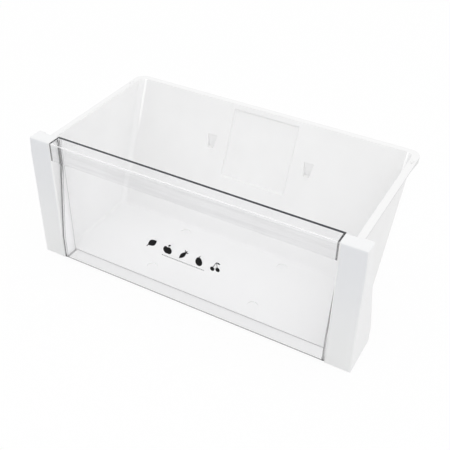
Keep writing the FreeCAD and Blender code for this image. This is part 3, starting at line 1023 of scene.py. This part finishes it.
class Sign(Enum):
    """What a printed sign shows."""

    LEAF = "leaf"
    APPLE = "apple"
    CARROT = "carrot"
    PEAR = "pear"
    CHERRIES = "cherries"

    def outlines(self) -> list[list[Point]]:
        """Draws the sign, one unit high about its middle.

        Returns:
            The closed outlines that make it.
        """
        if self is Sign.LEAF:
            stalk = stroke((-0.52, -0.46), (-0.38, -0.27), 0.07)
            return [blade((-0.42, -0.30), (0.42, 0.36), 0.52), stalk]
        if self is Sign.APPLE:
            return [polar(apple_radius, (0.0, -0.12)), blade((0.03, 0.24), (0.30, 0.46), 0.15)]
        if self is Sign.CARROT:
            greens = [blade((0.22, 0.22), tip, 0.09) for tip in ((0.18, 0.52), (0.38, 0.48), (0.50, 0.30))]
            return [blade((-0.36, -0.46), (0.30, 0.34), 0.34), *greens]
        if self is Sign.PEAR:
            return [polar(pear_radius, (0.0, -0.14)), stroke((0.0, 0.26), (0.10, 0.46), 0.06)]
        knot = (0.10, 0.42)
        berries = [polar(cherry_radius, centre) for centre in ((-0.22, -0.27), (0.24, -0.20))]
        stalks = [stroke(foot, knot, 0.05) for foot in ((-0.18, -0.10), (0.20, -0.03))]
        return [*berries, *stalks, blade(knot, (0.44, 0.34), 0.14)]


@dataclass
class PrintedSigns:
    """Generic signs for produce, printed on the clear front, over a dotted rule.

    Attributes:
        panel: The front that carries them.
        finish: The ink.
        signs: What is shown, from left to right.
        left: X of the first sign's middle.
        right: X of the last sign's middle.
        height: Z of the signs' middle.
        size: Height of a sign.
        rule_left: X of the first dot.
        rule_right: X of the last dot.
        rule_height: Z of the dots.
        dot_count: How many dots there are.
        dot_radius: Radius of a dot.
        dot_sides: Sides of a dot's outline.
        film: Thickness of the ink.
    """

    panel: ClearFront
    finish: Ink = BLACK_INK
    signs: Sequence[Sign] = tuple(Sign)
    left: float = -50.0 * MM
    right: float = 42.0 * MM
    height: float = 82.0 * MM
    size: float = 16.0 * MM
    rule_left: float = -34.0 * MM
    rule_right: float = 26.0 * MM
    rule_height: float = 70.5 * MM
    dot_count: int = 25
    dot_radius: float = 0.7 * MM
    dot_sides: int = 20
    film: float = 0.06 * MM

    def plane(self, across: float, height: float) -> Matrix:
        """Finds the turn and move that lay a flat drawing on the leaning face.

        Args:
            across: X of the drawing's origin.
            height: Z of the drawing's origin.

        Returns:
            The matrix from the drawing to the part.
        """
        lean = self.panel.face_depth(1.0) - self.panel.face_depth(0.0)
        up = Vector((0.0, lean, 1.0)).normalized()
        right = Vector((1.0, 0.0, 0.0))
        out = right.cross(up)
        place = Vector((across, self.panel.face_depth(height), height))
        turn = Matrix((right, up, out)).transposed().to_4x4()
        return Matrix.Translation(place) @ turn

    def sign_mesh(self, sign: Sign, across: float) -> bpy.types.Mesh:
        """Builds one sign in its place.

        Args:
            sign: What it shows.
            across: X of its middle.

        Returns:
            The mesh.
        """
        drawing = bmesh.new()
        for outline in sign.outlines():
            corners = [drawing.verts.new((x * self.size, y * self.size, 0.0)) for x, y in outline]
            face = drawing.faces.new(corners)
            grown = bmesh.ops.extrude_face_region(drawing, geom=[face])["geom"]
            raised = [item for item in grown if isinstance(item, bmesh.types.BMVert)]
            bmesh.ops.translate(drawing, verts=raised, vec=(0.0, 0.0, self.film))
        bmesh.ops.recalc_face_normals(drawing, faces=drawing.faces)
        bmesh.ops.transform(drawing, matrix=self.plane(across, self.height), verts=drawing.verts)
        mesh = bpy.data.meshes.new(f"sign_{sign.value}")
        drawing.to_mesh(mesh)
        drawing.free()
        return mesh

    def rule_tree(self, ink: bpy.types.Material) -> tuple[bpy.types.NodeTree, dict[str, str]]:
        """Builds the node tree of the dotted rule.

        Args:
            ink: The dots' material.

        Returns:
            The tree, and the identifier of each of its named inputs.
        """
        tree = bpy.data.node_groups.new("dotted_rule", "GeometryNodeTree")
        keys = {}
        for name, kind in (
            ("Geometry", "Geometry"), ("Dot Count", "Int"), ("Spacing", "Float"),
            ("Dot Radius", "Float"), ("Film", "Float"),
        ):
            socket = tree.interface.new_socket(name=name, in_out="INPUT", socket_type=f"NodeSocket{kind}")
            keys[name] = socket.identifier
        tree.interface.new_socket(name="Geometry", in_out="OUTPUT", socket_type="NodeSocketGeometry")
        kinds = {
            "given": "NodeGroupInput",
            "step": "ShaderNodeCombineXYZ",
            "line": "GeometryNodeMeshLine",
            "dot": "GeometryNodeMeshCylinder",
            "copies": "GeometryNodeInstanceOnPoints",
            "real": "GeometryNodeRealizeInstances",
            "coat": "GeometryNodeSetMaterial",
            "shown": "NodeGroupOutput",
        }
        nodes = {name: tree.nodes.new(kind) for name, kind in kinds.items()}
        nodes["dot"].inputs["Vertices"].default_value = self.dot_sides
        nodes["coat"].inputs["Material"].default_value = ink
        for source, output, target, taken in (
            ("given", "Spacing", "step", "X"),
            ("given", "Dot Count", "line", "Count"),
            ("step", "Vector", "line", "Offset"),
            ("given", "Dot Radius", "dot", "Radius"),
            ("given", "Film", "dot", "Depth"),
            ("line", "Mesh", "copies", "Points"),
            ("dot", "Mesh", "copies", "Instance"),
            ("copies", "Instances", "real", "Geometry"),
            ("real", "Geometry", "coat", "Geometry"),
            ("coat", "Geometry", "shown", "Geometry"),
        ):
            tree.links.new(nodes[source].outputs[output], nodes[target].inputs[taken])
        return tree, keys

    def rule_mesh(self, ink: bpy.types.Material) -> bpy.types.Mesh:
        """Builds the dotted rule in its place.

        Args:
            ink: The dots' material.

        Returns:
            The mesh.
        """
        tree, keys = self.rule_tree(ink)
        carrier = bpy.data.objects.new("rule_carrier", bpy.data.meshes.new("rule_carrier"))
        bpy.context.scene.collection.objects.link(carrier)
        modifier = carrier.modifiers.new("dots", "NODES")
        modifier.node_group = tree
        modifier[keys["Dot Count"]] = self.dot_count
        modifier[keys["Spacing"]] = (self.rule_right - self.rule_left) / (self.dot_count - 1)
        modifier[keys["Dot Radius"]] = self.dot_radius
        modifier[keys["Film"]] = 2 * self.film
        evaluated = carrier.evaluated_get(bpy.context.evaluated_depsgraph_get())
        mesh = bpy.data.meshes.new_from_object(evaluated)
        bpy.data.objects.remove(carrier)
        mesh.transform(self.plane(self.rule_left, self.rule_height))
        return mesh

    def build(self) -> list[bpy.types.Object]:
        """Builds all signs and the rule.

        Returns:
            The pieces.
        """
        ink = self.finish.material()
        pitch = (self.right - self.left) / (len(self.signs) - 1)
        made = []
        for index, sign in enumerate(self.signs):
            mesh = self.sign_mesh(sign, self.left + index * pitch)
            made.append(add_piece(f"printed_{sign.value}", mesh, ink))
        made.append(add_piece("printed_rule", self.rule_mesh(ink), ink))
        return made


@dataclass(frozen=True)
class Softbox:
    """A square studio lamp.

    Attributes:
        name: Its name.
        place: Where it stands.
        aim: What it points at.
        size: Its side.
        power: Its power in watts.
    """

    name: str
    place: Place
    aim: Place
    size: float
    power: float

    def build(self) -> None:
        """Adds the lamp to the scene."""
        lamp = bpy.data.lights.new(self.name, "AREA")
        lamp.shape = "SQUARE"
        lamp.size = self.size
        lamp.energy = self.power
        stand = bpy.data.objects.new(self.name, lamp)
        turn = (Vector(self.aim) - Vector(self.place)).to_track_quat("-Z", "Y")
        stand.matrix_world = Matrix.Translation(self.place) @ turn.to_matrix().to_4x4()
        bpy.context.scene.collection.objects.link(stand)


RIGHT_SOFTBOX = Softbox(
    name="right_softbox", place=(0.9, -0.8, 2.8), aim=(0.0, 0.0, 0.1), size=2.2, power=13.0
)


@dataclass
class Studio:
    """Camera, floor, room light and lamps.

    Attributes:
        camera_place: Where the camera stands.
        azimuth: Degrees that the camera stands to the right of the front.
        elevation: Degrees that the camera looks down.
        roll: Degrees that the camera's right side is raised.
        lens: Focal length in millimetres.
        sensor: Width of the sensor in millimetres.
        floor_half: Half the side of the floor.
        floor_drop: Floor below the feet.
        floor_tone: Tone of the floor.
        floor_veil: Share of plain white over the floor's own shading.
        room_light: Strength of the room's light from above and behind.
        front_light: Strength of the room's light from the front.
        light_span: Y of the room's sides between which its light changes.
        lamps: The lamps.
    """

    camera_place: Place = (0.3855, -0.7182, 0.6798)
    azimuth: float = 28.54
    elevation: float = 37.36
    roll: float = 1.12
    lens: float = 59.82
    sensor: float = 36.0
    floor_half: float = 4.0
    floor_drop: float = 0.2 * MM
    floor_tone: Colour = (0.90, 0.90, 0.90, 1.0)
    floor_veil: float = 0.93
    room_light: float = 1.0
    front_light: float = 0.88
    light_span: Span = (-1.0, 0.2)
    lamps: Sequence[Softbox] = (RIGHT_SOFTBOX,)

    def build(self) -> None:
        """Builds the whole studio."""
        self.add_camera()
        self.add_floor()
        self.add_room_light()
        for lamp in self.lamps:
            lamp.build()
        bpy.context.scene.view_settings.view_transform = "Standard"

    def add_camera(self) -> None:
        """Adds the camera at the photograph's viewing angle."""
        lens = bpy.data.cameras.new("camera")
        lens.sensor_width = self.sensor
        lens.lens = self.lens
        camera = bpy.data.objects.new("camera", lens)
        turn = (
            Matrix.Rotation(math.radians(self.azimuth), 4, "Z")
            @ Matrix.Rotation(math.radians(90.0 - self.elevation), 4, "X")
            @ Matrix.Rotation(math.radians(self.roll), 4, "Z")
        )
        camera.matrix_world = Matrix.Translation(self.camera_place) @ turn
        bpy.context.scene.collection.objects.link(camera)
        bpy.context.scene.camera = camera

    def add_floor(self) -> None:
        """Adds the pale floor, which keeps a faint shadow."""
        sides = ((-1, -1), (1, -1), (1, 1), (-1, 1))
        corners = [(x * self.floor_half, y * self.floor_half, -self.floor_drop) for x, y in sides]
        mesh = bpy.data.meshes.new("floor")
        mesh.from_pydata(corners, [], [range(len(corners))])
        tree = ShaderTree.of_material("pale_floor")
        veil = tree.math("MULTIPLY", tree.showing(), self.floor_veil)
        matt = tree.add("ShaderNodeBsdfDiffuse", {"Color": self.floor_tone})
        plain = tree.add("ShaderNodeEmission", {"Color": WHITE, "Strength": 1.0})
        mesh.materials.append(tree.finish(tree.crossing(veil, matt, plain)))
        floor = bpy.data.objects.new("floor", mesh)
        bpy.context.scene.collection.objects.link(floor)

    def add_room_light(self) -> None:
        """Adds the room's even light, which shows as white."""
        tree = ShaderTree(bpy.data.worlds.new("room"))
        depth = tree.split("Generated")[1]["Y"]
        strength = tree.slide(depth, *self.light_span, self.front_light, self.room_light)
        lit = tree.add("ShaderNodeBackground", {"Color": WHITE, "Strength": strength})
        plain = tree.add("ShaderNodeBackground", {"Color": WHITE, "Strength": 1.0})
        bpy.context.scene.world = tree.finish(tree.crossing(tree.showing(), lit, plain))


def main() -> None:
    """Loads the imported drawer, dresses it and sets up the studio."""
    logging.basicConfig(level=logging.INFO)
    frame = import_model()
    nodes = frame["nodes"]

    OpalBin(rim_half=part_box("bin")[1].x).dress(nodes["bin"])
    EndCaps().dress(nodes["left_end_cap"], nodes["right_end_cap"])
    low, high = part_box("front_panel")
    # The panel's ears reach into the caps, and its end walls stand beside the caps' inner sides.
    fit_clearance = 0.3 * MM
    half_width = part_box("right_end_cap")[0].x - fit_clearance
    panel = ClearFront(half_width, front=low.y, seam=high.y, top=high.z, foot=low.z)
    panel.dress(nodes["front_panel"])
    for piece in PrintedSigns(panel).build():
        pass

    Studio().build()


if __name__ == "__main__":
    main()
